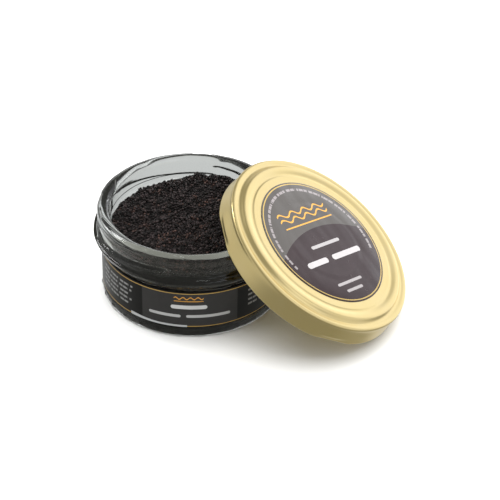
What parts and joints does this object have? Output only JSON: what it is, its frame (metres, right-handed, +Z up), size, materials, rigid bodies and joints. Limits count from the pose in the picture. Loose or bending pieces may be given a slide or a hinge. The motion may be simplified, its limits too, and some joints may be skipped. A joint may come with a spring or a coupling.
{
  "type": "open jar of imitation herring roe",
  "caption": "Low glass jar filled with black imitation herring roe, with a wrap label and its gold screw lid leaning on the rim.",
  "frame": {"origin": "middle of the jar's flat base, on the surface that it stands on", "axes": "+Z up along the jar's axis; the lid leans on the rim at the +X side and slopes down towards +X; the viewer stands at -Y"},
  "size_m": [0.1036, 0.0774, 0.0437],
  "materials": {
    "clear_glass": "polished clear soda-lime glass",
    "black_roe": "wet, near-black brown grains",
    "body_label_film": null,
    "gold_tinplate": "satin gold lacquer on tinplate",
    "lid_label_paper": null
  },
  "bodies": {
    "root": {"glass_jar": "clear_glass", "roe": "black_roe", "body_label": "body_label_film", "lid": "gold_tinplate", "lid_label": "lid_label_paper"}
  },
  "joints": []
}
